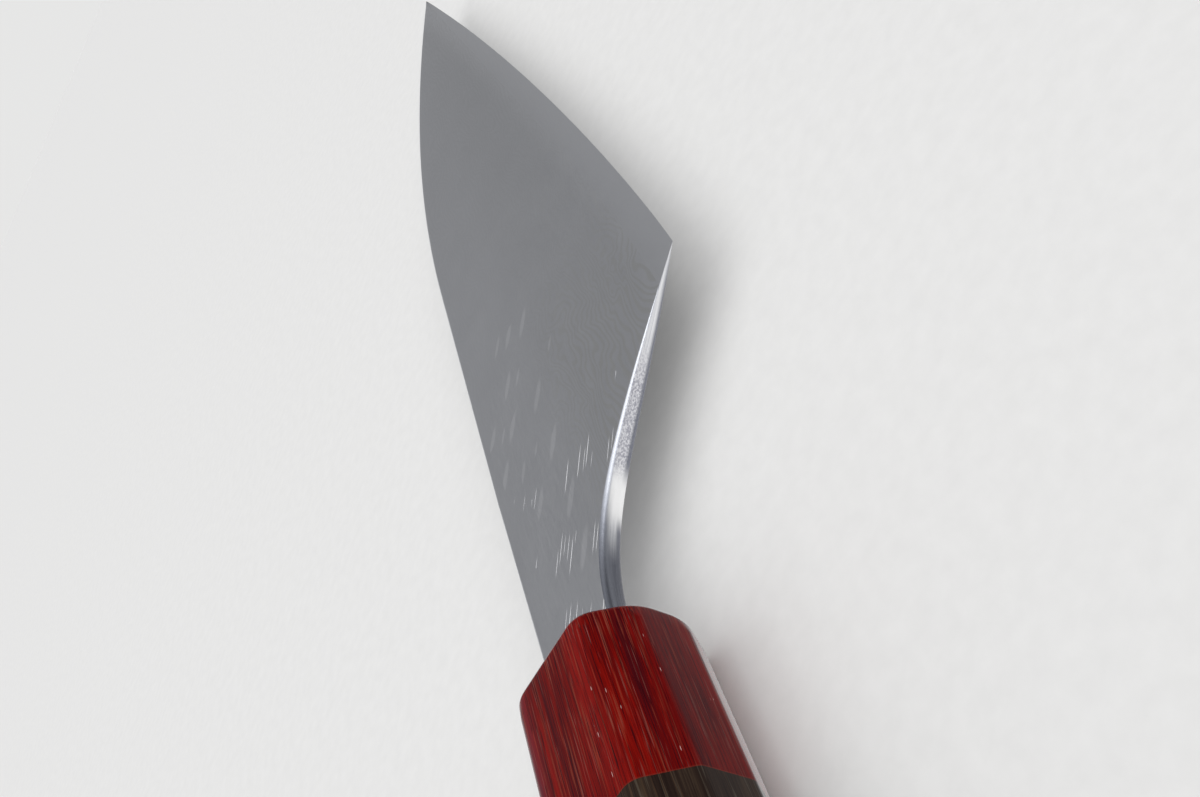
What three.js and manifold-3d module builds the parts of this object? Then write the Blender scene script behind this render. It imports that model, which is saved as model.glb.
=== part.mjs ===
// Gyuto: a kitchen knife with a three-layer blade, a hidden tang and an eight-sided wooden handle.
// It lies on its left side. X runs from the butt to the tip, Y from the edge to the spine, Z is up.
import * as THREE from 'three';
import { mergeVertices } from 'three/addons/utils/BufferGeometryUtils.js';
import Module from 'manifold-3d';

const wasm = await Module();
wasm.setup();

// Blade outline, in millimetres, seen from the right face
const EDGE_LENGTH = 210;
const NECK_LENGTH = 46.5;
const HEEL_HEIGHT = 47;
const SPINE_RISE = 9.2;
const NECK_HEIGHT = 14;
const TIP_DROP = 26.4;
const SPINE_STRAIGHT = 118;
const SPINE_CURVE = 2;
const EDGE_CURVE = 1.48;
const CHOIL_REACH = 20.7;
const CHOIL_LEAD = 23.6;
const CHOIL_RISE = 26;

// Blade thickness: spine, core layer, grind and rounded corners
const NECK_THICKNESS = 3;
const HEEL_THICKNESS = 3.8;
const TIP_THICKNESS = 1;
const CORE_THICKNESS = 1;
const CORE_TIP_THICKNESS = 0.34;
const GRIND_CURVE = 2.7;
const SPINE_ROUND = 0.7;
const CHOIL_ROUND = 0.8;

// Hidden tang
const TANG_LENGTH = 92;
const SHOULDER_DEPTH = 5;
const SHOULDER_RUN = 1;
const TANG_HEIGHT = 8.4;
const TANG_END_HEIGHT = 5;
const TANG_END_THICKNESS = 2.2;

// Handle
const HANDLE_LENGTH = 140;
const HANDLE_WIDTH = 18.4;
const FRONT_HEIGHT = 21.5;
const BUTT_HEIGHT = 22.5;
const BEVEL_HEIGHT = 3.9;
const BEVEL_WIDTH = 5.9;
const RIDGE_SOFTENING = 0.4;
const FRONT_SOFTENING = 2.8;
const FRONT_RUN = 5;
const FERRULE_LENGTH = 25.5;
const FERRULE_WALL = 8;
const FERRULE_ROUND = 1.2;
const BUTT_ROUND = 1;

// Dowel that joins ferrule and grip, and the resin that holds the tang in it
const DOWEL_DIAMETER = 12;
const DOWEL_TAIL = 8;
const RESIN_THICKNESS = 0.4;
const FIT_GAP = 0.3;

// Fineness of the faceted surfaces
const EDGE_STEPS = 36;
const CHOIL_STEPS = 18;
const TANG_STEPS = 3;
const FACE_ROWS = 6;
const EDGE_ROWS = 2;
const ROUND_STEPS = 4;
const RIDGE_STEPS = 4;
const DOWEL_SIDES = 24;

// Stations crowd towards the tip, and a rounded corner keeps to a share of its layer and of the face
const TIP_CROWDING = 1.5;
const ROUND_OF_LAYER = 0.8;
const ROUND_OF_FACE = 0.25;

// Vertices closer than this are one, and a cutter runs this far past the face that it opens
const MERGE_DISTANCE = 1e-4;
const CUT_EXTRA = 1;

// Levels and lengths that follow from the driving dimensions
const TIP_X = NECK_LENGTH + EDGE_LENGTH;
const HEEL_Y = SPINE_RISE - HEEL_HEIGHT;
const NECK_Y = SPINE_RISE - NECK_HEIGHT;
const DOWEL_FRONT = -FERRULE_WALL - FIT_GAP;
const DOWEL_BACK = -TANG_LENGTH - DOWEL_TAIL;
const SOCKET_DIAMETER = DOWEL_DIAMETER + 2 * FIT_GAP;
const SLOT_HEIGHT = TANG_HEIGHT + 2 * (FIT_GAP + RESIN_THICKNESS);
const SLOT_WIDTH = NECK_THICKNESS + 2 * (FIT_GAP + RESIN_THICKNESS);
const lerp = THREE.MathUtils.lerp;

// Turns vertices and triangles into a closed geometry, without the triangles that have shrunk to a line
function closedGeometry(points, triangles) {
  const raw = new THREE.BufferGeometry();
  raw.setAttribute('position', new THREE.Float32BufferAttribute(points.flat(), 3));
  raw.setIndex(triangles.flat());
  const merged = mergeVertices(raw, MERGE_DISTANCE);
  const kept = [];
  const index = merged.index.array;
  for (let i = 0; i < index.length; i += 3) {
    const [a, b, c] = index.slice(i, i + 3);
    if (a !== b && b !== c && c !== a) kept.push(a, b, c);
  }
  merged.setIndex(kept);
  return merged;
}

function toSolid(geometry) {
  const bare = geometry.clone();
  bare.deleteAttribute('normal');
  bare.deleteAttribute('uv');
  const merged = mergeVertices(bare, MERGE_DISTANCE);
  const mesh = new wasm.Mesh({
    numProp: 3,
    vertProperties: new Float32Array(merged.attributes.position.array),
    triVerts: new Uint32Array(merged.index.array),
  });
  return new wasm.Manifold(mesh);
}

function subtract(geometry, ...cutters) {
  let solid = toSolid(geometry);
  for (const cutter of cutters) solid = solid.subtract(toSolid(cutter));
  const mesh = solid.getMesh();
  const cut = new THREE.BufferGeometry();
  cut.setAttribute('position', new THREE.Float32BufferAttribute(mesh.vertProperties, 3));
  cut.setIndex([...mesh.triVerts]);
  return cut;
}

function named(name, geometry, color, roughness, metalness) {
  const shaded = geometry.clone();
  shaded.computeVertexNormals();
  const mesh = new THREE.Mesh(shaded, new THREE.MeshStandardMaterial({ color, roughness, metalness }));
  mesh.name = name;
  return mesh;
}

// Blade stations: each has its x, the top and bottom of the outline, and the edge line that the grind runs to
function spineAt(x) {
  const run = Math.max(0, (x - SPINE_STRAIGHT) / (TIP_X - SPINE_STRAIGHT));
  return SPINE_RISE - TIP_DROP * run ** SPINE_CURVE;
}

function tangStations() {
  const start = -SHOULDER_DEPTH - SHOULDER_RUN;
  const stations = [];
  for (let i = 0; i <= TANG_STEPS; i++) {
    const share = i / TANG_STEPS;
    const half = lerp(TANG_END_HEIGHT, TANG_HEIGHT, share) / 2;
    stations.push({ x: lerp(-TANG_LENGTH, start, share), top: half, bottom: -half, edge: HEEL_Y });
  }
  stations.push({ x: -SHOULDER_DEPTH, top: SPINE_RISE, bottom: NECK_Y, edge: HEEL_Y });
  return stations;
}

function choilStations() {
  const curve = new THREE.CubicBezierCurve(
    new THREE.Vector2(0, NECK_Y),
    new THREE.Vector2(CHOIL_REACH, NECK_Y),
    new THREE.Vector2(NECK_LENGTH - CHOIL_LEAD, HEEL_Y + CHOIL_RISE),
    new THREE.Vector2(NECK_LENGTH, HEEL_Y),
  );
  const points = curve.getPoints(CHOIL_STEPS).slice(0, -1);
  return points.map((p) => ({ x: p.x, top: spineAt(p.x), bottom: p.y, edge: HEEL_Y }));
}

function edgeStations() {
  const stations = [];
  for (let i = 0; i <= EDGE_STEPS; i++) {
    const share = 1 - (1 - i / EDGE_STEPS) ** TIP_CROWDING;
    const x = NECK_LENGTH + EDGE_LENGTH * share;
    const edge = HEEL_Y + (HEEL_HEIGHT - TIP_DROP) * share ** EDGE_CURVE;
    stations.push({ x, top: i === EDGE_STEPS ? edge : spineAt(x), bottom: edge, edge });
  }
  return stations;
}

// Distal taper: thin at the end of the tang, thickest at the neck, thin again at the tip
function spineThickness(x) {
  if (x < 0) return lerp(NECK_THICKNESS, TANG_END_THICKNESS, -x / TANG_LENGTH);
  if (x < NECK_LENGTH) return lerp(NECK_THICKNESS, HEEL_THICKNESS, x / NECK_LENGTH);
  return lerp(HEEL_THICKNESS, TIP_THICKNESS, (x - NECK_LENGTH) / EDGE_LENGTH);
}

function coreHalf(x) {
  const share = Math.max(0, (x - NECK_LENGTH) / EDGE_LENGTH);
  return lerp(CORE_THICKNESS, CORE_TIP_THICKNESS, share) / 2;
}

// Convex grind: half the thickness at height y, nil on the edge line and nearly parallel at the spine
function grindHalf(station, y) {
  const full = Math.max(station.top, spineAt(station.x)) - station.edge;
  const share = full > 0 ? THREE.MathUtils.clamp((y - station.edge) / full, 0, 1) : 0;
  return (spineThickness(station.x) / 2) * (1 - (1 - share) ** GRIND_CURVE);
}

// Height at which the grind comes through the cladding to the core
function cladLine(station) {
  const full = Math.max(station.top, spineAt(station.x)) - station.edge;
  const share = 1 - (1 - (2 * coreHalf(station.x)) / spineThickness(station.x)) ** (1 / GRIND_CURVE);
  return Math.max(station.bottom, station.edge + full * share);
}

// Rows of one station's section, from its foot to the spine: [y, z under, z over]
function coreRows(station) {
  const line = cladLine(station);
  const heights = [];
  for (let i = 0; i < EDGE_ROWS; i++) heights.push(lerp(station.bottom, line, i / EDGE_ROWS));
  heights.push(line, (line + station.top) / 2, station.top);
  return heights.map((y) => {
    const half = Math.min(grindHalf(station, y), coreHalf(station.x));
    return [y, -half, half];
  });
}

function claddingRows(station) {
  const foot = cladLine(station);
  const core = coreHalf(station.x);
  const top = station.top;
  const outer = (y) => Math.max(core, grindHalf(station, y));
  const roundFor = (radius, y) => {
    const layer = outer(y) - core;
    return Math.min(radius, layer * ROUND_OF_LAYER, (top - foot) * ROUND_OF_FACE);
  };
  const crown = roundFor(SPINE_ROUND, top);
  const toe = roundFor(CHOIL_ROUND, foot);
  const rows = [];
  for (let i = 0; i < ROUND_STEPS; i++) {
    const angle = (i / ROUND_STEPS) * (Math.PI / 2);
    const y = foot + toe * (1 - Math.cos(angle));
    rows.push([y, core, lerp(core, outer(y), Math.sin(angle))]);
  }
  for (let i = 0; i <= FACE_ROWS; i++) {
    const y = lerp(foot + toe, top - crown, i / FACE_ROWS);
    rows.push([y, core, outer(y)]);
  }
  for (let i = 1; i <= ROUND_STEPS; i++) {
    const angle = (i / ROUND_STEPS) * (Math.PI / 2);
    const y = top - crown + crown * Math.sin(angle);
    rows.push([y, core, lerp(core, outer(y), Math.cos(angle))]);
  }
  return rows;
}

// One layer of the blade: the rows of every station joined into a closed body, mirrored for the left side
function bladeLayer(stations, rowsOf, mirrored) {
  const sections = stations.map(rowsOf);
  const rows = sections[0].length;
  const points = [];
  for (let i = 0; i < stations.length; i++) {
    for (const [y, under, over] of sections[i]) {
      points.push([stations[i].x, y, mirrored ? -over : under]);
      points.push([stations[i].x, y, mirrored ? -under : over]);
    }
  }
  const under = (i, j) => 2 * (i * rows + j);
  const over = (i, j) => under(i, j) + 1;
  const triangles = [];
  const quad = (a, b, c, d) => triangles.push([a, b, c], [a, c, d]);
  const last = stations.length - 1;
  for (let i = 0; i < last; i++) {
    for (let j = 0; j < rows - 1; j++) {
      quad(over(i, j), over(i + 1, j), over(i + 1, j + 1), over(i, j + 1));
      quad(under(i, j), under(i, j + 1), under(i + 1, j + 1), under(i + 1, j));
    }
    quad(under(i, 0), under(i + 1, 0), over(i + 1, 0), over(i, 0));
    quad(over(i, rows - 1), over(i + 1, rows - 1), under(i + 1, rows - 1), under(i, rows - 1));
  }
  for (let j = 0; j < rows - 1; j++) {
    quad(under(0, j), over(0, j), over(0, j + 1), under(0, j + 1));
    quad(under(last, j), under(last, j + 1), over(last, j + 1), over(last, j));
  }
  return closedGeometry(points, triangles);
}

// Eight-sided section across the handle at x, drawn in by inset; its ridges soften towards the front
function handleRing(x, inset) {
  const share = THREE.MathUtils.clamp(-x / HANDLE_LENGTH, 0, 1);
  const a = lerp(FRONT_HEIGHT, BUTT_HEIGHT, share) / 2;
  const b = HANDLE_WIDTH / 2;
  const soft = lerp(FRONT_SOFTENING, RIDGE_SOFTENING, THREE.MathUtils.clamp(-x / FRONT_RUN, 0, 1));
  const quarter = [[a, b - BEVEL_WIDTH], [a - BEVEL_HEIGHT, b]];
  const corners = [];
  for (const [sy, sz] of [[1, 1], [-1, 1], [-1, -1], [1, -1]]) {
    const pair = quarter.map(([y, z]) => new THREE.Vector2(sy * y, sz * z));
    corners.push(...(sy * sz > 0 ? pair : pair.reverse()));
  }
  const shrink = new THREE.Vector2((a - inset) / a, (b - inset) / b);
  const ring = [];
  corners.forEach((corner, i) => {
    const towards = (next) => {
      const reach = corners.at(next % corners.length).clone().sub(corner);
      return reach.setLength(Math.min(soft, reach.length() / 2)).add(corner);
    };
    const ridge = new THREE.QuadraticBezierCurve(towards(i - 1), corner, towards(i + 1));
    for (const p of ridge.getPoints(RIDGE_STEPS)) ring.push([x, p.x * shrink.x, p.y * shrink.y]);
  });
  return ring;
}

// Closed body through rings of equal count that follow each other towards -X, with flat ends
function loft(rings) {
  const count = rings[0].length;
  const triangles = [];
  for (let i = 0; i < rings.length - 1; i++) {
    for (let j = 0; j < count; j++) {
      const a = i * count + j;
      const b = i * count + ((j + 1) % count);
      triangles.push([a, a + count, b + count], [a, b + count, b]);
    }
  }
  const endFace = (first, reversed) => {
    const flat = Array.from({ length: count }, (_, j) => {
      const [, y, z] = rings[first][j];
      return new THREE.Vector2(y, z);
    });
    for (const [a, b, c] of THREE.ShapeUtils.triangulateShape(flat, [])) {
      const at = first * count;
      triangles.push(reversed ? [at + c, at + b, at + a] : [at + a, at + b, at + c]);
    }
  };
  endFace(0, false);
  endFace(rings.length - 1, true);
  return closedGeometry(rings.flat(), triangles);
}

// Rings of a rounded handle end, from the full section to the flat face at x
function roundedEnd(x, radius, inward) {
  const rings = [];
  for (let i = 0; i <= ROUND_STEPS; i++) {
    const angle = (i / ROUND_STEPS) * (Math.PI / 2);
    rings.push(handleRing(x + inward * radius * (1 - Math.sin(angle)), radius * (1 - Math.cos(angle))));
  }
  return rings;
}

function bar(xFront, xBack, height, width) {
  const box = new THREE.BoxGeometry(xFront - xBack, height, width);
  return box.translate((xFront + xBack) / 2, 0, 0);
}

function round(xFront, xBack, diameter) {
  const cylinder = new THREE.CylinderGeometry(diameter / 2, diameter / 2, xFront - xBack, DOWEL_SIDES);
  return cylinder.rotateZ(Math.PI / 2).translate((xFront + xBack) / 2, 0, 0);
}

const stations = [...tangStations(), ...choilStations(), ...edgeStations()];
const bladeCore = bladeLayer(stations, coreRows, false);
const rightCladding = bladeLayer(stations, claddingRows, false);
const leftCladding = bladeLayer(stations, claddingRows, true);

// Ferrule: rounded front, a slot that fits the neck, and a socket for the dowel
function ferrule() {
  const front = roundedEnd(0, FERRULE_ROUND, -1).reverse();
  const body = loft([...front, handleRing(-FRONT_RUN, 0), handleRing(-FERRULE_LENGTH, 0)]);
  const slotBack = -FERRULE_WALL - CUT_EXTRA;
  const slot = bar(CUT_EXTRA, slotBack, NECK_HEIGHT + 2 * FIT_GAP, NECK_THICKNESS + 2 * FIT_GAP);
  slot.translate(0, (SPINE_RISE + NECK_Y) / 2, 0);
  const socket = round(-FERRULE_WALL, -FERRULE_LENGTH - CUT_EXTRA, SOCKET_DIAMETER);
  return subtract(body, slot, socket);
}

function grip() {
  const butt = roundedEnd(-HANDLE_LENGTH, BUTT_ROUND, 1);
  const body = loft([handleRing(-FERRULE_LENGTH, 0), ...butt]);
  const socket = round(CUT_EXTRA - FERRULE_LENGTH, DOWEL_BACK - FIT_GAP, SOCKET_DIAMETER);
  return subtract(body, socket);
}

// Dowel with a slot right through it, which the resin fills round the tang
function dowel() {
  const slot = bar(DOWEL_FRONT + CUT_EXTRA, DOWEL_BACK - CUT_EXTRA, SLOT_HEIGHT, SLOT_WIDTH);
  return subtract(round(DOWEL_FRONT, DOWEL_BACK, DOWEL_DIAMETER), slot);
}

function tangRoom(x, height, thickness) {
  const y = height / 2 + FIT_GAP;
  const z = thickness / 2 + FIT_GAP;
  return [[x, y, -z], [x, y, z], [x, -y, z], [x, -y, -z]];
}

function tangResin() {
  const plug = bar(DOWEL_FRONT, DOWEL_BACK, SLOT_HEIGHT, SLOT_WIDTH);
  const room = loft([
    tangRoom(0, TANG_HEIGHT, NECK_THICKNESS),
    tangRoom(-SHOULDER_DEPTH, TANG_HEIGHT, NECK_THICKNESS),
    tangRoom(-TANG_LENGTH - FIT_GAP, TANG_END_HEIGHT, TANG_END_THICKNESS),
  ]);
  return subtract(plug, room);
}

// The origin is at the middle of the footprint, on the surface that the handle's left facet lies on
const highest = Math.max(SPINE_RISE, FRONT_HEIGHT / 2, BUTT_HEIGHT / 2);
const lowest = Math.min(HEEL_Y, -FRONT_HEIGHT / 2, -BUTT_HEIGHT / 2);
const knife = new THREE.Group();
knife.position.set((HANDLE_LENGTH - TIP_X) / 2, -(highest + lowest) / 2, HANDLE_WIDTH / 2);
knife.add(
  named('blade_core', bladeCore, 0xa6abb0, 0.3, 1),
  named('right_cladding', rightCladding, 0x7f8488, 0.42, 1),
  named('left_cladding', leftCladding, 0x7f8488, 0.42, 1),
  named('ferrule', ferrule(), 0x7c1511, 0.35, 0),
  named('grip', grip(), 0x342b27, 0.5, 0),
  named('handle_dowel', dowel(), 0xcdb48a, 0.7, 0),
  named('tang_resin', tangResin(), 0xb59a63, 0.4, 0),
);

export default knife;
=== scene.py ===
"""Gyuto knife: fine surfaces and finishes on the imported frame, with a floor, soft light and a camera."""
import math
from collections import namedtuple

import bmesh
import bpy
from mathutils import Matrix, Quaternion, Vector


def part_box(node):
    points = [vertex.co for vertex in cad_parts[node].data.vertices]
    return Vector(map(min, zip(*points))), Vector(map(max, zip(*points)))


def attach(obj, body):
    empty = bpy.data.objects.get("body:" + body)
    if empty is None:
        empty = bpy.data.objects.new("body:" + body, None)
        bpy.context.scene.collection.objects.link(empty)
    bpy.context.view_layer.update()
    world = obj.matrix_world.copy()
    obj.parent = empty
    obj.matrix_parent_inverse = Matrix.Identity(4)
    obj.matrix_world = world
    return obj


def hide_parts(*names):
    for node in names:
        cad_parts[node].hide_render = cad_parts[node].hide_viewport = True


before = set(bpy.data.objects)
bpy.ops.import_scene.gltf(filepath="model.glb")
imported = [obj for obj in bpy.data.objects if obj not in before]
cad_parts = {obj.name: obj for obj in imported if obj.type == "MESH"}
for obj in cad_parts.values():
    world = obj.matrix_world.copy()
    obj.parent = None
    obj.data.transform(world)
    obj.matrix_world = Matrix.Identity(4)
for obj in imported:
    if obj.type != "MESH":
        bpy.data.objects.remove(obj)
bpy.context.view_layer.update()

MM = 0.001
QUARTER = math.pi / 2
FULL_TURN = 2 * math.pi
X, Y, Z = 0, 1, 2
QUADRANTS = ((1, 1), (-1, 1), (-1, -1), (1, -1))

# Blade outline, in millimetres: x from the ferrule's front, y from the handle's axis
EDGE_LENGTH = 210
NECK_LENGTH = 46.5
HEEL_HEIGHT = 47
SPINE_RISE = 9.2
NECK_HEIGHT = 14
TIP_DROP = 26.4
SPINE_STRAIGHT = 118
SPINE_CURVE = 2
EDGE_CURVE = 1.48
CHOIL_REACH = 20.7
CHOIL_LEAD = 23.6
CHOIL_RISE = 26

# Blade thickness: spine, core layer, grind and rounded corners
NECK_THICKNESS = 3
HEEL_THICKNESS = 3.8
TIP_THICKNESS = 1
CORE_THICKNESS = 1
CORE_TIP_THICKNESS = 0.34
GRIND_CURVE = 2.7
SPINE_ROUND = 0.7
CHOIL_ROUND = 0.8

# Hidden tang
TANG_LENGTH = 92
SHOULDER_DEPTH = 5
SHOULDER_RUN = 1
TANG_HEIGHT = 8.4
TANG_END_HEIGHT = 5
TANG_END_THICKNESS = 2.2

# Handle
HANDLE_LENGTH = 140
HANDLE_WIDTH = 18.4
FRONT_HEIGHT = 21.5
BUTT_HEIGHT = 22.5
BEVEL_HEIGHT = 3.9
BEVEL_WIDTH = 5.9
FERRULE_LENGTH = 25.5
FERRULE_WALL = 8
FERRULE_ROUND = 1.2
BUTT_ROUND = 1
SOCKET_DIAMETER = 12.6
SOCKET_BACK = -100.3
FIT_GAP = 0.3
CUT_EXTRA = 1

# Softening of the handle's ridges: at the very front, and from the end of the front run onwards
BROAD_SOFTENING = (2.2, 1.4)
NARROW_SOFTENING = (2.8, 0.5)
FRONT_RUN = 3

# Fineness of the surfaces
EDGE_STEPS = 150
CHOIL_STEPS = 60
TANG_STEPS = 4
FACE_ROWS = 36
EDGE_ROWS = 8
CORE_ROWS = 4
ROUND_STEPS = 8
RIDGE_STEPS = 8
SOCKET_SIDES = 64
TIP_CROWDING = 1.5
ROUND_OF_LAYER = 0.8
ROUND_OF_FACE = 0.25
MERGE_DISTANCE = 1e-7
BLADE_CREASE = math.radians(35)
HANDLE_CREASE = math.radians(40)

# Camera, as fitted to the photograph
PHOTO_WIDTH = 1200
FOCAL_PIXELS = 1323.44
SENSOR_WIDTH = 36
CLIP_START = 0.005
CAMERA_PLACE = Vector((-169.99, -62.93, 85.57)) * MM
CAMERA_AIM = Vector((-18.2, -1.96, 9.2)) * MM
CAMERA_ROLL = math.radians(67.72)

# Floor, light and surroundings
FLOOR_LEVEL = -0.0001
FLOOR_HALF = 20.0
REFLECTED_FLOOR = 0.9
KEY_FROM = Vector((-0.25, -0.12, 0.96))
KEY_STRENGTH = 1.65
KEY_SPREAD = math.radians(110)
KICK_FROM = Vector((-0.1, -0.76, 0.64))
KICK_STRENGTH = 0.6
KICK_SPREAD = math.radians(40)
SKY = (0.42, 0.425, 0.44)
SHADE = (0.09, 0.092, 0.1)
SHADE_TOWARDS = Vector((0.7, -0.66, 0.27)).normalized()
SHADE_INNER = 0.96
SHADE_OUTER = 0.78
HORIZON = (0.794, 0.794, 0.79)
HORIZON_LOW = 0.055
HORIZON_HIGH = 0.1

# The sizes start from the ferrule's front, on the handle's axis and in the blade's middle plane
_, ferrule_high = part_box("ferrule")
core_low, core_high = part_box("blade_core")
ORIGIN = Vector((
    ferrule_high.x,
    core_low.y + (HEEL_HEIGHT - SPINE_RISE) * MM,
    (core_low.z + core_high.z) / 2,
))
TIP_X = NECK_LENGTH + EDGE_LENGTH
HEEL_Y = SPINE_RISE - HEEL_HEIGHT
NECK_Y = SPINE_RISE - NECK_HEIGHT


def mix(a, b, share):
    return a + (b - a) * share


def clamp(share):
    return min(1, max(0, share))


# Blade stations: x, top and bottom of the outline, and the edge line that the grind runs to
Station = namedtuple("Station", "x top bottom edge")


def spine_at(x):
    run = max(0, (x - SPINE_STRAIGHT) / (TIP_X - SPINE_STRAIGHT))
    return SPINE_RISE - TIP_DROP * run ** SPINE_CURVE


def choil_point(t):
    points = (
        (0, NECK_Y),
        (CHOIL_REACH, NECK_Y),
        (NECK_LENGTH - CHOIL_LEAD, HEEL_Y + CHOIL_RISE),
        (NECK_LENGTH, HEEL_Y),
    )
    weights = ((1 - t) ** 3, 3 * t * (1 - t) ** 2, 3 * t * t * (1 - t), t ** 3)
    return [sum(w * p[axis] for w, p in zip(weights, points)) for axis in (X, Y)]


def tang_stations():
    stations = []
    for i in range(TANG_STEPS + 1):
        half = mix(TANG_END_HEIGHT, TANG_HEIGHT, i / TANG_STEPS) / 2
        x = mix(-TANG_LENGTH, -SHOULDER_DEPTH - SHOULDER_RUN, i / TANG_STEPS)
        stations.append(Station(x, half, -half, HEEL_Y))
    stations.append(Station(-SHOULDER_DEPTH, SPINE_RISE, NECK_Y, HEEL_Y))
    return stations


def choil_stations():
    stations = []
    for i in range(CHOIL_STEPS):
        x, y = choil_point(i / CHOIL_STEPS)
        stations.append(Station(x, spine_at(x), y, HEEL_Y))
    return stations


def edge_stations():
    stations = []
    for i in range(EDGE_STEPS + 1):
        share = 1 - (1 - i / EDGE_STEPS) ** TIP_CROWDING
        x = NECK_LENGTH + EDGE_LENGTH * share
        edge = HEEL_Y + (HEEL_HEIGHT - TIP_DROP) * share ** EDGE_CURVE
        top = edge if i == EDGE_STEPS else spine_at(x)
        stations.append(Station(x, top, edge, edge))
    return stations


def spine_thickness(x):
    if x < 0:
        return mix(NECK_THICKNESS, TANG_END_THICKNESS, -x / TANG_LENGTH)
    if x < NECK_LENGTH:
        return mix(NECK_THICKNESS, HEEL_THICKNESS, x / NECK_LENGTH)
    return mix(HEEL_THICKNESS, TIP_THICKNESS, (x - NECK_LENGTH) / EDGE_LENGTH)


def core_half(x):
    share = max(0, (x - NECK_LENGTH) / EDGE_LENGTH)
    return mix(CORE_THICKNESS, CORE_TIP_THICKNESS, share) / 2


def grind_height(station):
    return max(station.top, spine_at(station.x)) - station.edge


def grind_half(station, y):
    full = grind_height(station)
    share = clamp((y - station.edge) / full) if full > 0 else 0
    return spine_thickness(station.x) / 2 * (1 - (1 - share) ** GRIND_CURVE)


def clad_line(station):
    core_share = 2 * core_half(station.x) / spine_thickness(station.x)
    share = 1 - (1 - core_share) ** (1 / GRIND_CURVE)
    return max(station.bottom, station.edge + grind_height(station) * share)


# Rows of one station's section, from its foot to the spine: y, z under and z over
def core_rows(station):
    line = clad_line(station)
    heights = [mix(station.bottom, line, i / EDGE_ROWS) for i in range(EDGE_ROWS)]
    heights += [mix(line, station.top, i / CORE_ROWS) for i in range(CORE_ROWS + 1)]
    halves = [min(grind_half(station, y), core_half(station.x)) for y in heights]
    return [(y, -half, half) for y, half in zip(heights, halves)]


def cladding_rows(station):
    top = station.top
    foot = clad_line(station)
    core = core_half(station.x)

    def outer(y):
        return max(core, grind_half(station, y))

    def round_for(radius, y):
        return min(radius, (outer(y) - core) * ROUND_OF_LAYER, (top - foot) * ROUND_OF_FACE)

    crown = round_for(SPINE_ROUND, top)
    toe = round_for(CHOIL_ROUND, foot)
    rows = []
    for i in range(ROUND_STEPS):
        angle = i / ROUND_STEPS * QUARTER
        y = foot + toe * (1 - math.cos(angle))
        rows.append((y, core, mix(core, outer(y), math.sin(angle))))
    for i in range(FACE_ROWS + 1):
        y = mix(foot + toe, top - crown, i / FACE_ROWS)
        rows.append((y, core, outer(y)))
    for i in range(1, ROUND_STEPS + 1):
        angle = i / ROUND_STEPS * QUARTER
        y = top - crown + crown * math.sin(angle)
        rows.append((y, core, mix(core, outer(y), math.cos(angle))))
    return rows


# Meshes
def new_piece(name, points, faces, finishes, crease):
    """A smooth object from points in millimetres; finishes gives each face's material slot."""
    mesh = bpy.data.meshes.new(name)
    mesh.from_pydata([ORIGIN + Vector(p) * MM for p in points], [], faces)
    mesh.polygons.foreach_set("material_index", finishes)
    cleaned = bmesh.new()
    cleaned.from_mesh(mesh)
    bmesh.ops.remove_doubles(cleaned, verts=cleaned.verts, dist=MERGE_DISTANCE)
    bmesh.ops.dissolve_degenerate(cleaned, edges=cleaned.edges, dist=MERGE_DISTANCE)
    bmesh.ops.recalc_face_normals(cleaned, faces=cleaned.faces)
    cleaned.to_mesh(mesh)
    cleaned.free()
    smooth(mesh, crease)
    piece = bpy.data.objects.new(name, mesh)
    bpy.context.scene.collection.objects.link(piece)
    return piece


def smooth(mesh, crease):
    mesh.shade_smooth()
    mesh.set_sharp_from_angle(angle=crease)


# Material slots of a blade layer
SATIN, POLISHED = 0, 1


def blade_layer(name, rows_of, mirrored=False):
    """One layer of the blade: satin faces, with polished rounded corners, spine and foot."""
    stations = tang_stations() + choil_stations() + edge_stations()
    sections = [rows_of(station) for station in stations]
    rows = len(sections[0])
    points, faces, finishes = [], [], []
    for station, section in zip(stations, sections):
        for y, under, over in section:
            points.append((station.x, y, -over if mirrored else under))
            points.append((station.x, y, -under if mirrored else over))

    def quad(finish, *corners):
        faces.append([2 * (i * rows + j) + over for i, j, over in corners])
        finishes.append(finish)

    top = rows - 1
    last = len(stations) - 1
    rounded = rows_of is cladding_rows
    face_rows = range(ROUND_STEPS, top - ROUND_STEPS) if rounded else range(top)
    for i in range(last):
        for j in range(top):
            finish = SATIN if j in face_rows else POLISHED
            for side in (0, 1):
                quad(finish, (i, j, side), (i + 1, j, side), (i + 1, j + 1, side), (i, j + 1, side))
        for j in (0, top):
            quad(POLISHED, (i, j, 0), (i + 1, j, 0), (i + 1, j, 1), (i, j, 1))
    for i in (0, last):
        for j in range(top):
            quad(SATIN, (i, j, 0), (i, j, 1), (i, j + 1, 1), (i, j + 1, 0))
    return new_piece(name, points, faces, finishes, BLADE_CREASE)


def handle_corners(a, b):
    """Corners of the eight-sided section of half height a and half width b, in order around it."""
    corners = []
    for sy, sz in QUADRANTS:
        narrow = Vector((sy * a, sz * (b - BEVEL_WIDTH)))
        broad = Vector((sy * (a - BEVEL_HEIGHT), sz * b))
        corners += [narrow, broad] if sy * sz > 0 else [broad, narrow]
    return corners


def ridge_softening(index, x):
    """How far one corner is drawn back; the broad side facets lie between corners 1, 2 and 5, 6."""
    front, back = BROAD_SOFTENING if index % 4 in (1, 2) else NARROW_SOFTENING
    return mix(front, back, clamp(-x / FRONT_RUN))


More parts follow.
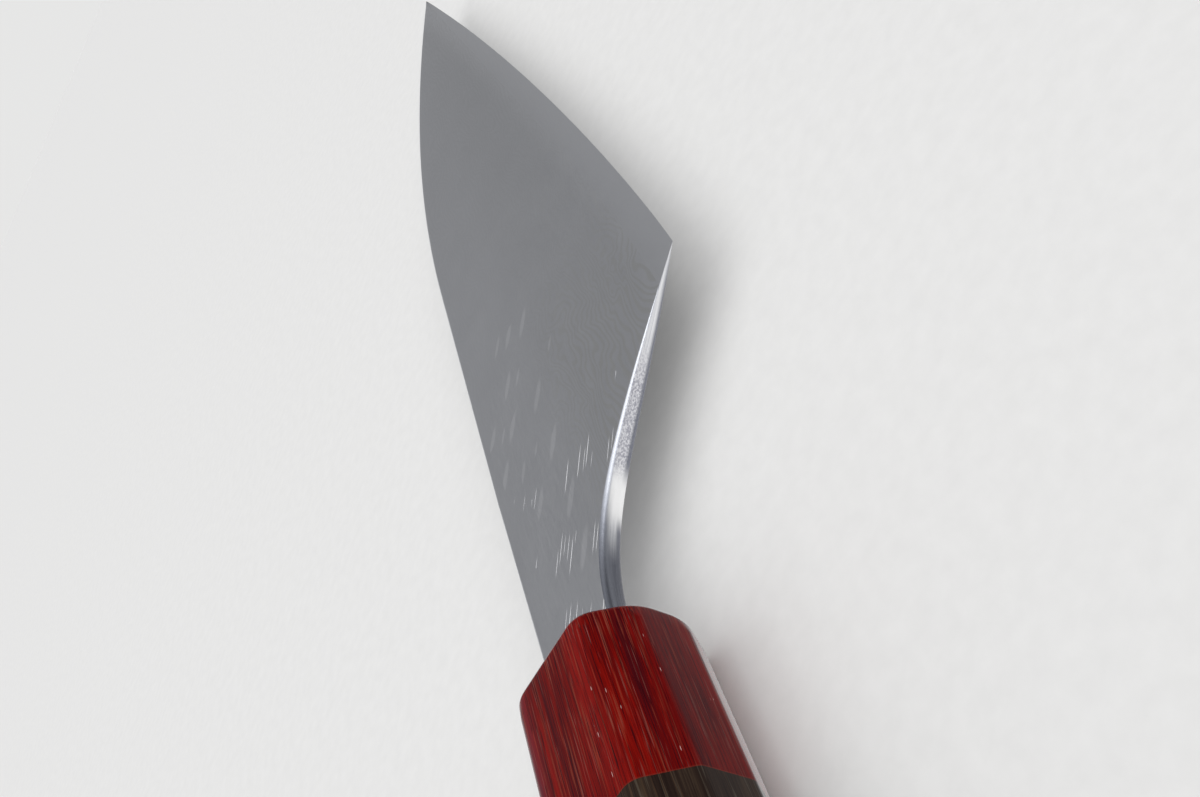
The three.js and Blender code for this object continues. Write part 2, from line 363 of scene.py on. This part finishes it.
def handle_ring(x, inset):
    """Section across the handle at x, drawn in by inset, with a short curve at each corner."""
    a = mix(FRONT_HEIGHT, BUTT_HEIGHT, clamp(-x / HANDLE_LENGTH)) / 2
    b = HANDLE_WIDTH / 2
    corners = handle_corners(a, b)
    ring = []
    for i, corner in enumerate(corners):
        soft = ridge_softening(i, x)
        before = corner + (corners[i - 1] - corner).normalized() * soft
        after = corner + (corners[(i + 1) % len(corners)] - corner).normalized() * soft
        for k in range(RIDGE_STEPS + 1):
            t = k / RIDGE_STEPS
            p = before * (1 - t) ** 2 + corner * (2 * t * (1 - t)) + after * t * t
            ring.append((x, p.x * (a - inset) / a, p.y * (b - inset) / b))
    return ring


def rounded_end(x, radius, inward):
    rings = []
    for i in range(ROUND_STEPS + 1):
        angle = i / ROUND_STEPS * QUARTER
        depth = inward * radius * (1 - math.sin(angle))
        rings.append(handle_ring(x + depth, radius * (1 - math.cos(angle))))
    return rings


def loft(name, rings):
    count = len(rings[0])
    faces = []
    for i in range(len(rings) - 1):
        for j in range(count):
            a, b = i * count + j, i * count + (j + 1) % count
            faces.append((a, a + count, b + count, b))
    faces.append(range(count))
    faces.append(range((len(rings) - 1) * count, len(rings) * count))
    return new_piece(name, sum(rings, []), faces, [SATIN] * len(faces), HANDLE_CREASE)


def box_cutter(front, back, height, middle, width):
    ends = []
    for x in (front, back):
        ends.append([(x, middle + sy * height / 2, sz * width / 2) for sy, sz in QUADRANTS])
    return loft("cutter", ends)


def round_cutter(front, back, diameter):
    angles = [i / SOCKET_SIDES * FULL_TURN for i in range(SOCKET_SIDES)]
    ends = []
    for x in (front, back):
        ends.append([(x, math.cos(a) * diameter / 2, math.sin(a) * diameter / 2) for a in angles])
    return loft("cutter", ends)


def cut(piece, *cutters):
    for cutter in cutters:
        boolean = piece.modifiers.new("cut", "BOOLEAN")
        boolean.operation = "DIFFERENCE"
        boolean.object = cutter
    evaluated = piece.evaluated_get(bpy.context.evaluated_depsgraph_get())
    mesh = bpy.data.meshes.new_from_object(evaluated)
    piece.modifiers.clear()
    piece.data = mesh
    smooth(mesh, HANDLE_CREASE)
    for cutter in cutters:
        bpy.data.objects.remove(cutter)
    return piece


def make_ferrule():
    front = rounded_end(0, FERRULE_ROUND, -1)[::-1]
    rings = [*front, handle_ring(-FRONT_RUN, 0), handle_ring(-FERRULE_LENGTH, 0)]
    body = loft("red_ferrule", rings)
    slot = box_cutter(
        front=CUT_EXTRA,
        back=-FERRULE_WALL - CUT_EXTRA,
        height=NECK_HEIGHT + 2 * FIT_GAP,
        middle=(SPINE_RISE + NECK_Y) / 2,
        width=NECK_THICKNESS + 2 * FIT_GAP,
    )
    socket = round_cutter(-FERRULE_WALL, -FERRULE_LENGTH - CUT_EXTRA, SOCKET_DIAMETER)
    return cut(body, slot, socket)


def make_grip():
    butt = rounded_end(-HANDLE_LENGTH, BUTT_ROUND, 1)
    body = loft("dark_grip", [handle_ring(-FERRULE_LENGTH, 0), *butt])
    socket = round_cutter(CUT_EXTRA - FERRULE_LENGTH, SOCKET_BACK, SOCKET_DIAMETER)
    return cut(body, socket)


# Node trees
NOISE_LOW, NOISE_HIGH = 0.3, 0.7
MIX_FACTOR, MIX_A, MIX_B, MIX_RESULT = 0, 6, 7, 2
SHORTEST_MARK = 0.4
MARK_BODY = 0.5
RAMP_MIDDLE = 0.5


class Nodes:
    """The node tree of a material or a world, with short calls for the few node kinds used here."""

    def __init__(self, owner, place="Object"):
        owner.use_nodes = True
        self.owner = owner
        self.tree = owner.node_tree
        self.place = self.add("ShaderNodeTexCoord").outputs[place]

    def feed(self, socket, value):
        if isinstance(value, bpy.types.NodeSocket):
            self.tree.links.new(value, socket)
        else:
            socket.default_value = value

    def add(self, kind, inputs=(), **settings):
        node = self.tree.nodes.new(kind)
        for key, value in settings.items():
            setattr(node, key, value)
        for key, value in dict(inputs).items():
            self.feed(node.inputs[key], value)
        return node

    def finish(self, **inputs):
        """The material, with these inputs of its surface shader set."""
        shader = self.tree.nodes["Principled BSDF"]
        for key, value in inputs.items():
            self.feed(shader.inputs[key.replace("_", " ")], value)
        return self.owner

    def math(self, operation, *values):
        return self.add("ShaderNodeMath", dict(enumerate(values)), operation=operation).outputs[0]

    def times(self, a, b):
        return self.math("MULTIPLY", a, b)

    def plus(self, a, b):
        return self.math("ADD", a, b)

    def span(self, value, low, high, to_low=0.0, to_high=1.0):
        """From to_low at low to to_high at high, eased at both ends."""
        values = {"Value": value, "From Min": low, "From Max": high, "To Min": to_low, "To Max": to_high}
        return self.add("ShaderNodeMapRange", values, interpolation_type="SMOOTHSTEP").outputs[0]

    def follow(self, noise, values):
        """Between two values, as a noise goes."""
        return self.span(noise, NOISE_LOW, NOISE_HIGH, *values)

    def axis(self, index, start=0.0):
        """Distance in millimetres along one of the part's axes, from start on the design's own axis."""
        split = self.add("ShaderNodeSeparateXYZ", {"Vector": self.place})
        away = self.math("SUBTRACT", split.outputs[index], ORIGIN[index] + start * MM)
        return self.math("DIVIDE", away, MM)

    def fade(self, index, limits, before=0.0, after=1.0):
        """From before to after, between two limits in millimetres along one of the part's axes."""
        return self.span(self.axis(index), *limits, before, after)

    def stretched(self, size, turn=0.0):
        """Places in units of this size in millimetres along x, y and z, after a turn about z."""
        values = {"Vector": self.place, "Rotation": (0, 0, turn), "Scale": [s * MM for s in size]}
        return self.add("ShaderNodeMapping", values, vector_type="TEXTURE").outputs[0]

    def noise(self, size, detail=3.0, roughness=0.55, distortion=0.0):
        values = {"Vector": self.stretched(size), "Scale": 1.0, "Detail": detail}
        values |= {"Roughness": roughness, "Distortion": distortion}
        return self.add("ShaderNodeTexNoise", values).outputs["Fac"]

    def marks(self, size, share, longest, flat=False, turn=0.0):
        """Separate dashes, 1 on them: one in this share of the cells, up to this part of a cell long."""
        values = {"Vector": self.stretched(size, turn), "Scale": 1.0}
        dimensions = "2D" if flat else "3D"
        cells = self.add("ShaderNodeTexVoronoi", values, voronoi_dimensions=dimensions)
        chance = self.add("ShaderNodeSeparateColor", {"Color": cells.outputs["Color"]})
        reach = self.span(chance.outputs[1], 0, 1, longest * SHORTEST_MARK, longest)
        dash = self.span(cells.outputs["Distance"], reach, self.times(reach, MARK_BODY))
        return self.times(dash, self.math("LESS_THAN", chance.outputs[0], share))

    def ramp(self, value, *stops):
        node = self.add("ShaderNodeValToRGB", {"Fac": value})
        elements = node.color_ramp.elements
        while len(elements) < len(stops):
            elements.new(RAMP_MIDDLE)
        for element, (position, color) in zip(elements, stops):
            element.position = position
            element.color = (*color, 1)
        return node.outputs["Color"]

    def tint(self, noise, colors, low=NOISE_LOW, high=NOISE_HIGH):
        """Between two colours, as a noise goes."""
        return self.ramp(noise, (low, colors[0]), (high, colors[1]))

    def blend(self, factor, a, b):
        """Colour a, covered with colour b as far as the factor says."""
        node = self.add("ShaderNodeMix", data_type="RGBA")
        for index, value in ((MIX_FACTOR, factor), (MIX_A, a), (MIX_B, b)):
            self.feed(node.inputs[index], (*value, 1) if isinstance(value, tuple) else value)
        return node.outputs[MIX_RESULT]

    def bump(self, height, strength, depth):
        values = {"Height": height, "Strength": strength, "Distance": depth * MM}
        return self.add("ShaderNodeBump", values).outputs["Normal"]


def material_nodes(name):
    return Nodes(bpy.data.materials.new(name))


# Steels. Sizes and places are in millimetres, and colours are linear. The two limits of a zone are where it
# starts and where it is full. A relief is a strength and a depth. EVEN leaves a pattern even along an axis.
EVEN = 1000.0
STEEL_CLOUD = (14, 10, EVEN)
BRUSH_SHARE = 0.35
SATIN_LOW, SATIN_HIGH = 0.25, 0.75
SATIN_COLORS = ((0.415, 0.42, 0.435), (0.47, 0.475, 0.49))
# Painted shade: a darker grey laid over the satin towards the foot and the tip
SATIN_SHADE = (0.3, 0.305, 0.315)
FOOT_SHADE, FOOT_SHADE_Y = 0.25, (4, -22)
TIP_SHADE, TIP_SHADE_X = 0.45, (40, 200)
EDGE_PALE = (0.54, 0.545, 0.56)
EDGE_PALE_SHARE = 0.6
EDGE_BAND = 9

LAYER_SPACING = 1.05
LAYER_WAVES = (17, 9, EVEN)
LAYER_DETAIL, LAYER_DISTORTION = 2, 0.6
LAYER_DRIFT = 13
LAYER_COLOR = (0.36, 0.36, 0.35)
LAYER_DARK_FROM = -0.5
LAYER_X, LAYER_FAR_SHARE = (85, 45), 0.2
LAYER_Y, LAYER_SHARES = (-4, -17), (0.05, 0.7)
LAYER_ROUGHNESS = 0.025
LAYER_RELIEF = 0.15

STREAK_TURN = math.radians(-32)
SCRATCH_CELL, SCRATCH_LONGEST = (13, 0.36, 1), 0.26
SCRATCH_X, SCRATCH_Y = (50, 32), (-22, -12, 2, 7)
SCRATCH_OFTEN_X, SCRATCH_OFTEN = (25, 8), (0.24, 0.45)
SCRATCH_COLOR = (0.9, 0.9, 0.91)
SCRATCH_METAL = 0.25
SMEAR_CELL, SMEAR_LONGEST = (10, 2.2, 1), 0.4
SMEAR_X, SMEAR_Y = (95, 55), (-18, -8, 5, 8)
SMEAR_OFTEN = 0.35
SMEAR_SHARE = 0.3
SMEAR_COLOR = (0.7, 0.7, 0.71)

CLADDING_BRUSH = (9, 0.12, 0.12)
CLADDING_ROUGHNESS = (0.33, 0.4)
CLADDING_RELIEF = (0.12, 0.02)
CORE_BRUSH = (7, 0.1, 0.1)
CORE_ROUGHNESS = (0.3, 0.37)
CORE_RELIEF = (0.1, 0.02)


def layer_lines(n):
    """Wavy contour lines of a layered billet, from -1 to 1, alike on both faces."""
    drift = n.noise(LAYER_WAVES, LAYER_DETAIL, distortion=LAYER_DISTORTION)
    level = n.times(n.axis(Y), FULL_TURN / LAYER_SPACING)
    return n.math("SINE", n.plus(level, n.times(drift, FULL_TURN * LAYER_DRIFT)))


def near_edge(n):
    """1 on the curved cutting edge, falling to 0 above the edge band."""
    share = n.math("DIVIDE", n.axis(X, NECK_LENGTH), EDGE_LENGTH)
    curve = n.math("POWER", n.math("MAXIMUM", share, 0.0), EDGE_CURVE)
    height = n.math("SUBTRACT", n.axis(Y, HEEL_Y), n.times(curve, HEEL_HEIGHT - TIP_DROP))
    return n.span(height, EDGE_BAND, 0)


def ground_steel(n, brush):
    """Satin grey of both steels: cloudy, with painted shade towards the foot and the tip, and paler along
    the edge.
    """
    cloud = n.noise(STEEL_CLOUD)
    tone = n.plus(n.times(brush, BRUSH_SHARE), n.times(cloud, 1 - BRUSH_SHARE))
    steel = n.tint(tone, SATIN_COLORS, SATIN_LOW, SATIN_HIGH)
    # Painted shade towards the foot and the tip
    steel = n.blend(n.fade(Y, FOOT_SHADE_Y, after=FOOT_SHADE), steel, SATIN_SHADE)
    steel = n.blend(n.fade(X, TIP_SHADE_X, after=TIP_SHADE), steel, SATIN_SHADE)
    return n.blend(n.times(near_edge(n), EDGE_PALE_SHARE), steel, EDGE_PALE)


def patch(n, low, low_full, high_full, high):
    """1 along y from low_full to high_full, falling to 0 at low and high."""
    return n.times(n.fade(Y, (low, low_full)), n.fade(Y, (high, high_full)))


def scratches(n):
    """Fine dashes on the neck, closest together beside the ferrule."""
    place = n.times(n.fade(X, SCRATCH_X), patch(n, *SCRATCH_Y))
    share = n.times(place, n.fade(X, SCRATCH_OFTEN_X, *SCRATCH_OFTEN))
    return n.marks(SCRATCH_CELL, share, SCRATCH_LONGEST, True, STREAK_TURN)


def smears(n):
    """Broad dashes on the neck and the near part of the blade."""
    place = n.times(n.fade(X, SMEAR_X), patch(n, *SMEAR_Y))
    return n.marks(SMEAR_CELL, n.times(place, SMEAR_OFTEN), SMEAR_LONGEST, True, STREAK_TURN)


def cladding_steel():
    n = material_nodes("cladding_steel")
    brush = n.noise(CLADDING_BRUSH)
    lines = layer_lines(n)
    scratch = scratches(n)
    shown = n.times(n.fade(X, LAYER_X, LAYER_FAR_SHARE), n.fade(Y, LAYER_Y, *LAYER_SHARES))
    layers = n.times(n.span(lines, LAYER_DARK_FROM, 1), shown)
    base = n.blend(layers, ground_steel(n, brush), LAYER_COLOR)
    base = n.blend(n.times(smears(n), SMEAR_SHARE), base, SMEAR_COLOR)
    base = n.blend(scratch, base, SCRATCH_COLOR)
    rough = n.plus(n.times(lines, LAYER_ROUGHNESS), n.follow(brush, CLADDING_ROUGHNESS))
    relief = n.plus(brush, n.times(lines, LAYER_RELIEF))
    return n.finish(
        Base_Color=base,
        Metallic=n.span(scratch, 0, 1, 1, SCRATCH_METAL),
        Roughness=rough,
        Normal=n.bump(relief, *CLADDING_RELIEF),
    )


def core_steel():
    n = material_nodes("core_steel")
    brush = n.noise(CORE_BRUSH)
    return n.finish(
        Base_Color=ground_steel(n, brush),
        Metallic=1.0,
        Roughness=n.follow(brush, CORE_ROUGHNESS),
        Normal=n.bump(brush, *CORE_RELIEF),
    )


# Polished spine and choil; the choil's zones from the heel to the handle are painted reflection, highlight
# and shade
BUFF_LINES = (6, 6, 0.07)
BUFF_HIGH = 0.6
SPECKLE = (0.35, 0.35, 0.25)
SPECKLE_LOW, SPECKLE_HIGH = 0.4, 0.6
POLISH_ROUGHNESS = (0.38, 0.48)
POLISH_RELIEF = (0.2, 0.02)
SPINE_COLORS = ((0.48, 0.485, 0.5), (0.64, 0.645, 0.66))
CHOIL_Y = (4, 0)
# Painted reflection: the choil's bright tone along the heel
HEEL_REFLECTION_COLORS = ((0.62, 0.63, 0.67), (0.97, 0.97, 0.98))
# Painted reflection: a speckled zone in the choil's middle
SPECKLED_REFLECTION_COLORS = ((0.34, 0.34, 0.4), (0.8, 0.8, 0.83))
SPECKLE_HANDLE_X, SPECKLE_HEEL_X, SPECKLE_SHARE = (22.5, 25), (38, 32), 0.85
# Painted highlight: a white band across the choil
PAINTED_HIGHLIGHT_COLOR = (0.99, 0.99, 0.99)
HIGHLIGHT_HANDLE_X, HIGHLIGHT_HEEL_X = (17.5, 20), (25.5, 22.5)
THICKENING_X = (46, 30)
# Painted shade along the choil's border on the left face's side
LEFT_RIM_SHADE_COLOR = (0.17, 0.18, 0.22)
LEFT_RIM_Z, LEFT_RIM_RUN, LEFT_RIM_SHARE = (0.15, -0.3), 0.55, 0.85
# Painted reflection along the choil's border on the right face's side, dimmer towards the handle
RIGHT_RIM_REFLECTION_COLORS = ((0.3, 0.32, 0.38), (0.62, 0.64, 0.69))
RIGHT_RIM_X = (20, 28)
RIGHT_RIM_Z, RIGHT_RIM_RUN, RIGHT_RIM_SHARE = (0.05, 0.8), 0.35, 0.8
# Painted shade on the choil beside the handle, with a darker painted rim
NECK_SHADE_COLORS = ((0.095, 0.1, 0.12), (0.165, 0.172, 0.2))
NECK_X = (21.5, 13)
NECK_RIM_SHADE_COLOR = (0.2, 0.21, 0.24)
NECK_RIM_X, NECK_RIM_Z, NECK_RIM_SHARE = (24, 17), (0.1, 0.9), 0.7


def painted_choil_rims(n):
    """Shares of the choil's borders, painted shade on the left face's side and painted reflection on the
    right face's, wider where the blade is thicker.
    """
    left = n.fade(X, THICKENING_X, *LEFT_RIM_Z)
    left_full = n.math("SUBTRACT", left, LEFT_RIM_RUN)
    right = n.fade(X, THICKENING_X, *RIGHT_RIM_Z)
    right_full = n.plus(right, RIGHT_RIM_RUN)
    return (
        n.span(n.axis(Z), left, left_full, 0, LEFT_RIM_SHARE),
        n.span(n.axis(Z), right, right_full, 0, RIGHT_RIM_SHARE),
    )


def painted_choil_zones(n, buff, speckle):
    """Shares and colours of the choil's zones of painted reflection, highlight and shade, each laid over
    the ones before it.
    """
    speckle_end = n.fade(X, SPECKLE_HEEL_X, after=SPECKLE_SHARE)
    speckled_reflection = n.times(n.fade(X, SPECKLE_HANDLE_X), speckle_end)
    painted_highlight = n.times(n.fade(X, HIGHLIGHT_HANDLE_X), n.fade(X, HIGHLIGHT_HEEL_X))
    left_rim_shade, right_rim_reflection = painted_choil_rims(n)
    neck_rim_shade = n.times(n.fade(Z, NECK_RIM_Z, after=NECK_RIM_SHARE), n.fade(X, NECK_RIM_X))
    return (
        (1.0, n.tint(buff, HEEL_REFLECTION_COLORS, high=BUFF_HIGH)),
        (speckled_reflection, n.tint(speckle, SPECKLED_REFLECTION_COLORS, SPECKLE_LOW, SPECKLE_HIGH)),
        (left_rim_shade, LEFT_RIM_SHADE_COLOR),
        (painted_highlight, PAINTED_HIGHLIGHT_COLOR),
        (right_rim_reflection, n.tint(n.fade(X, RIGHT_RIM_X), RIGHT_RIM_REFLECTION_COLORS, 0, 1)),
        (n.fade(X, NECK_X), n.tint(buff, NECK_SHADE_COLORS)),
        (neck_rim_shade, NECK_RIM_SHADE_COLOR),
    )


def polished_steel():
    """Satin spine, and a choil with painted reflection that is bright at the heel and then speckled, a
    painted white highlight, and painted shade at the handle.
    """
    n = material_nodes("polished_steel")
    buff = n.noise(BUFF_LINES)
    speckle = n.noise(SPECKLE)
    choil = n.fade(Y, CHOIL_Y)
    base = n.tint(buff, SPINE_COLORS, high=BUFF_HIGH)
    for share, color in painted_choil_zones(n, buff, speckle):
        base = n.blend(n.times(share, choil), base, color)
    return n.finish(
        Base_Color=base,
        Metallic=1.0,
        Roughness=n.follow(speckle, POLISH_ROUGHNESS),
        Normal=n.bump(buff, *POLISH_RELIEF),
    )


# Woods: the base has noise levels and colours; a streak has its width, noise level, strength and colour
VESSEL_WIDTH = 0.22
VESSEL_DETAIL, VESSEL_BREAKUP = 4, 0.65
VESSEL_SHARE = 0.5
STREAK_LENGTH = 45
STREAK_DETAIL, STREAK_BREAKUP = 2, 0.6
STREAK_EASE = 0.1
WOOD_GLOSS = 0.035
WOOD_RELIEF = (0.08, 0.03)

FERRULE_VESSEL = 16
FERRULE_STRIPE = (45, 2.2, 2.2)
FERRULE_TONES = (
    (0.39, (0.058, 0.003, 0.005)),
    (0.49, (0.13, 0.003, 0.002)),
    (0.59, (0.205, 0.005, 0.003)),
)
FERRULE_STREAKS = (
    (0.3, 0.56, 0.55, (0.23, 0.045, 0.025)),
    (0.26, 0.58, 0.5, (0.22, 0.075, 0.06)),
    (0.14, 0.55, 0.8, (0.025, 0.002, 0.004)),
    (0.13, 0.69, 0.5, (0.27, 0.15, 0.14)),
)
FERRULE_ROUGHNESS = (0.14, 0.22)
# Painted reflection: a purple sheen in a band on the ferrule's spine side
BAND_REFLECTION_COLOR = (0.13, 0.03, 0.045)
BAND_Y, BAND_SHARE = (3.8, 6.2, 7, 9.5), 0.45
# Painted shade: the ferrule's foot facet on the edge side made darker
FERRULE_FOOT_SHADE_COLOR = (0.04, 0.003, 0.005)
FERRULE_FOOT_Y, FERRULE_FOOT_SHARE = (-9.2, -10.6), 0.4
PORE_COLOR = (0.5, 0.32, 0.3)
PORE_CELL, PORE_LONGEST = (1.4, 0.17, 0.17), 0.4
PORE_STRIPE, PORE_OFTEN = (0.5, 0.62), 0.04
PORE_DEPTH = 0.6
# Painted highlight: a lit rim along the ferrule's back edge, at the joint with the grip
JOINT_HIGHLIGHT_COLOR = (0.17, 0.03, 0.018)
JOINT_X, JOINT_SHARE = (0.22, 0.05), 0.4

GRIP_VESSEL = 14
GRIP_STRIPE = (50, 2.4, 2.4)
GRIP_TONES = (
    (0.34, (0.012, 0.007, 0.006)),
    (0.5, (0.026, 0.016, 0.012)),
    (0.64, (0.048, 0.032, 0.021)),
)
GRIP_STREAKS = (
    (0.26, 0.56, 0.4, (0.1, 0.085, 0.065)),
    (0.34, 0.57, 0.4, (0.08, 0.045, 0.025)),
    (0.2, 0.56, 0.6, (0.008, 0.005, 0.005)),
)
GRIP_ROUGHNESS = (0.16, 0.24)

DOWEL_FIBRE, DOWEL_DETAIL = (20, 0.6, 0.6), 4
DOWEL_COLORS = ((0.5, 0.36, 0.2), (0.72, 0.57, 0.36))
DOWEL_ROUGHNESS = 0.7
DOWEL_RELIEF = (0.3, 0.05)


def wood_figure(n, vessel_length, stripe_size, tones):
    """Fine vessels and broad stripes along a wood, and the colour that they give together."""
    vessel_size = (vessel_length, VESSEL_WIDTH, VESSEL_WIDTH)
    vessel = n.noise(vessel_size, VESSEL_DETAIL, VESSEL_BREAKUP)
    stripe = n.noise(stripe_size)
    tone = n.plus(n.times(vessel, VESSEL_SHARE), n.times(stripe, 1 - VESSEL_SHARE))
    return vessel, stripe, n.ramp(tone, *tones)


def streaked(n, wood, streaks):
    """A wood's colour with lengthwise streaks over it."""
    for width, level, strength, color in streaks:
        size = (width * STREAK_LENGTH, width, width)
        fibre = n.noise(size, STREAK_DETAIL, STREAK_BREAKUP)
        wood = n.blend(n.span(fibre, level, level + STREAK_EASE, 0, strength), wood, color)
    return wood


def ferrule_wood():
    """Red wood with a band of painted reflection to the spine side, painted shade on the foot facet, open
    pores and a painted highlight along the joint.
    """
    n = material_nodes("ferrule_wood")
    vessel, stripe, wood = wood_figure(n, FERRULE_VESSEL, FERRULE_STRIPE, FERRULE_TONES)
    # Painted reflection: the purple band on the spine side
    wood = n.blend(n.times(patch(n, *BAND_Y), BAND_SHARE), wood, BAND_REFLECTION_COLOR)
    wood = streaked(n, wood, FERRULE_STREAKS)
    # Painted shade on the foot facet
    foot = n.fade(Y, FERRULE_FOOT_Y, after=FERRULE_FOOT_SHARE)
    wood = n.blend(foot, wood, FERRULE_FOOT_SHADE_COLOR)
    pore = n.marks(PORE_CELL, n.span(stripe, *PORE_STRIPE, 0, PORE_OFTEN), PORE_LONGEST)
    wood = n.blend(pore, wood, PORE_COLOR)
    # Painted highlight along the joint
    joint_highlight = n.span(n.axis(X, -FERRULE_LENGTH), *JOINT_X, 0, JOINT_SHARE)
    relief = n.math("SUBTRACT", vessel, n.times(pore, PORE_DEPTH))
    return n.finish(
        Base_Color=n.blend(joint_highlight, wood, JOINT_HIGHLIGHT_COLOR),
        Roughness=n.follow(vessel, FERRULE_ROUGHNESS),
        Specular_IOR_Level=WOOD_GLOSS,
        Normal=n.bump(relief, *WOOD_RELIEF),
    )


def grip_wood():
    n = material_nodes("grip_wood")
    vessel, _, wood = wood_figure(n, GRIP_VESSEL, GRIP_STRIPE, GRIP_TONES)
    return n.finish(
        Base_Color=streaked(n, wood, GRIP_STREAKS),
        Roughness=n.follow(vessel, GRIP_ROUGHNESS),
        Specular_IOR_Level=WOOD_GLOSS,
        Normal=n.bump(vessel, *WOOD_RELIEF),
    )


def dowel_wood():
    n = material_nodes("dowel_wood")
    fibre = n.noise(DOWEL_FIBRE, DOWEL_DETAIL)
    return n.finish(
        Base_Color=n.tint(fibre, DOWEL_COLORS),
        Roughness=DOWEL_ROUGHNESS,
        Normal=n.bump(fibre, *DOWEL_RELIEF),
    )


# Resin and paper
RESIN_CLOUD = (4, 4, 4)
RESIN_COLORS = ((0.5, 0.34, 0.13), (0.62, 0.46, 0.22))
RESIN_ROUGHNESS = (0.3, 0.4)
PAPER_FIBRE, PAPER_DETAIL = (3, 3, 3), 4
PAPER_COLORS = ((0.77, 0.765, 0.75), (0.8, 0.795, 0.78))
PAPER_ROUGHNESS = 0.9
WHITE = (1, 1, 1, 1)


def tang_resin():
    n = material_nodes("tang_resin")
    cloud = n.noise(RESIN_CLOUD)
    return n.finish(Base_Color=n.tint(cloud, RESIN_COLORS), Roughness=n.follow(cloud, RESIN_ROUGHNESS))


def floor_paper():
    """Pale paper, which gloss and metal see as even white."""
    n = material_nodes("floor_paper")
    fibre = n.noise(PAPER_FIBRE, PAPER_DETAIL)
    paper = n.finish(Base_Color=n.tint(fibre, PAPER_COLORS), Roughness=PAPER_ROUGHNESS)
    matt = n.tree.nodes["Principled BSDF"].outputs[0]
    white = n.add("ShaderNodeEmission", {"Color": WHITE, "Strength": REFLECTED_FLOOR}).outputs[0]
    glossy = n.add("ShaderNodeLightPath").outputs["Is Glossy Ray"]
    seen = n.add("ShaderNodeMixShader", {0: glossy, 1: matt, 2: white}).outputs[0]
    n.feed(n.tree.nodes["Material Output"].inputs["Surface"], seen)
    return paper


# The knife
def dress(piece, node, slot, *materials):
    for material in materials:
        piece.data.materials.append(material)
    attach(piece, "root")
    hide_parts(node)


cladding, polish = cladding_steel(), polished_steel()
core_blade = blade_layer("core_blade", core_rows)
right_face = blade_layer("right_face", cladding_rows)
left_face = blade_layer("left_face", cladding_rows, mirrored=True)
dress(core_blade, "blade_core", "core_steel", core_steel(), polish)
dress(right_face, "right_cladding", "cladding_steel", cladding, polish)
dress(left_face, "left_cladding", "cladding_steel", cladding, polish)
dress(make_ferrule(), "ferrule", "ferrule_wood", ferrule_wood())
dress(make_grip(), "grip", "grip_wood", grip_wood())
for node, material in (("handle_dowel", dowel_wood()), ("tang_resin", tang_resin())):
    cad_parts[node].data.materials.clear()
    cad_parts[node].data.materials.append(material)


# Floor, lamps, world and camera
def make_floor():
    corners = [(x * FLOOR_HALF, y * FLOOR_HALF, FLOOR_LEVEL) for x, y in QUADRANTS]
    mesh = bpy.data.meshes.new("floor")
    mesh.from_pydata(corners, [], [range(len(corners))])
    mesh.materials.append(floor_paper())
    floor = bpy.data.objects.new("floor", mesh)
    bpy.context.scene.collection.objects.link(floor)


def make_lamp(name, come_from, strength, spread):
    data = bpy.data.lights.new(name, "SUN")
    data.energy = strength
    data.angle = spread
    lamp = bpy.data.objects.new(name, data)
    lamp.rotation_mode = "QUATERNION"
    lamp.rotation_quaternion = (-come_from).to_track_quat("-Z", "Y")
    bpy.context.scene.collection.objects.link(lamp)


def make_world():
    """A grey sky with one dark part, over a pale horizon."""
    n = Nodes(bpy.data.worlds.new("studio"), "Generated")
    towards = n.add("ShaderNodeVectorMath", {0: n.place, 1: SHADE_TOWARDS}, operation="DOT_PRODUCT")
    shaded = n.span(towards.outputs["Value"], SHADE_OUTER, SHADE_INNER)
    height = n.add("ShaderNodeSeparateXYZ", {0: n.place}).outputs[Z]
    above = n.span(height, HORIZON_LOW, HORIZON_HIGH)
    color = n.blend(above, HORIZON, n.blend(shaded, SKY, SHADE))
    n.feed(n.tree.nodes["Background"].inputs["Color"], color)
    bpy.context.scene.world = n.owner


def make_camera():
    data = bpy.data.cameras.new("camera")
    data.sensor_width = SENSOR_WIDTH
    data.lens = FOCAL_PIXELS / PHOTO_WIDTH * SENSOR_WIDTH
    data.clip_start = CLIP_START
    camera = bpy.data.objects.new("camera", data)
    camera.location = CAMERA_PLACE
    camera.rotation_mode = "QUATERNION"
    level = (CAMERA_AIM - CAMERA_PLACE).to_track_quat("-Z", "Y")
    camera.rotation_quaternion = level @ Quaternion((0, 0, 1), -CAMERA_ROLL)
    bpy.context.scene.collection.objects.link(camera)
    bpy.context.scene.camera = camera


make_floor()
make_lamp("key", KEY_FROM, KEY_STRENGTH, KEY_SPREAD)
make_lamp("kicker", KICK_FROM, KICK_STRENGTH, KICK_SPREAD)
make_world()
make_camera()
bpy.context.scene.view_settings.view_transform = "Standard"
